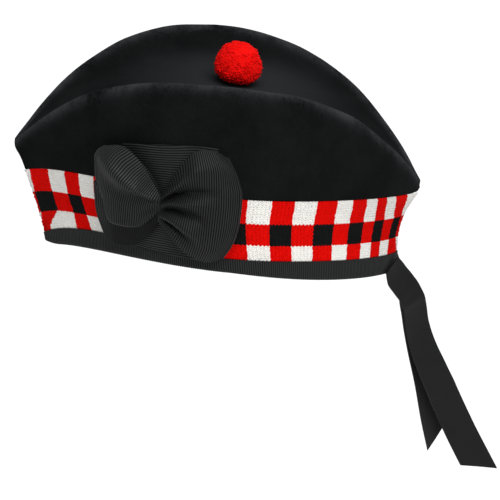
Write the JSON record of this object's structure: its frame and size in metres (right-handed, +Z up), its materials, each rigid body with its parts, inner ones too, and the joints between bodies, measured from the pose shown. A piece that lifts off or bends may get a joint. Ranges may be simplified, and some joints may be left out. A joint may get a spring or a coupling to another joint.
{
  "type": "glengarry",
  "caption": "Black wool glengarry bonnet, open beneath, with ridged crown, diced knitted band, ribbon cockade, red toorie and hanging ribbon tails.",
  "frame": {"origin": "middle of the rim, level with the rim's back, where the hat sits on a head", "axes": "+Z up, -Y to the wearer's front, +X to the wearer's left"},
  "size_m": [0.1721, 0.2985, 0.2425],
  "materials": {
    "milled_wool": "black milled wool, soft nap",
    "knitted_dicing": "knitted wool in red, white and black dice",
    "binding_ribbon": "black ribbed ribbon",
    "toorie_yarn": "clipped red wool yarn",
    "cockade_ribbon": "black grosgrain, fine cross ribs",
    "tail_ribbon": "black fine ribbed ribbon"
  },
  "bodies": {
    "root": {"crown": "milled_wool", "diced_band": "knitted_dicing", "rim_binding": "binding_ribbon", "toorie": "toorie_yarn", "cockade_backing": "cockade_ribbon", "cockade_bow": "cockade_ribbon", "tail_left": "tail_ribbon", "tail_right": "tail_ribbon"}
  },
  "joints": []
}
